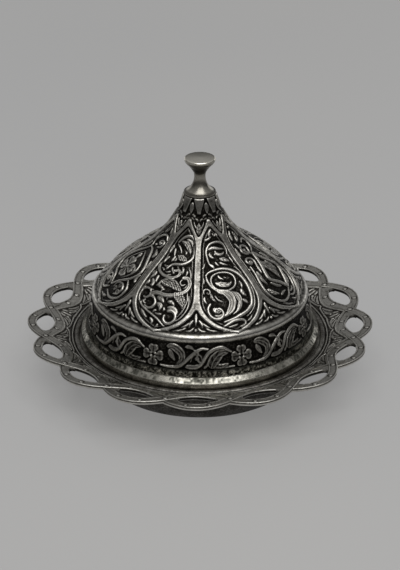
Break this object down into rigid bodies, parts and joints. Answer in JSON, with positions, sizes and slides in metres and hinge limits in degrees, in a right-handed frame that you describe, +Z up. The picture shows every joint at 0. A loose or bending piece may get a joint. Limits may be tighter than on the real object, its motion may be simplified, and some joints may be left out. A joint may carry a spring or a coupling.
{
  "type": "lidded candy dish",
  "caption": "Round cast metal candy dish with a scalloped, woven openwork edge and a lift-off ogee lid in relief, topped by a turned finial.",
  "frame": {"origin": "centre of the foot ring, on the surface that the dish stands on", "axes": "+Z up through the finial; -Y is the side the picture shows, where a hole of the woven edge faces front; +X is to the right in the picture"},
  "size_m": [0.1768, 0.1768, 0.1182],
  "materials": {
    "dish_metal": "cast white metal with a worn antique silver plate, dark in the hollows",
    "lid_metal": "cast white metal with a worn antique silver plate, dark in the hollows, bright on the high relief",
    "finial_metal": "turned and polished, lightly aged silver plate",
    "screw_steel": "zinc-plated steel",
    "washer_steel": "zinc-plated steel"
  },
  "bodies": {
    "dish": {"dish": "dish_metal"},
    "lid": {"lid_shell": "lid_metal", "finial": "finial_metal", "finial_screw": "screw_steel", "screw_washer": "washer_steel"}
  },
  "joints": [
    {"name": "lid_lift", "type": "slide", "parent": "dish", "child": "lid", "axis": [0, 0, 1], "range_m": [0, 0.11]}
  ]
}
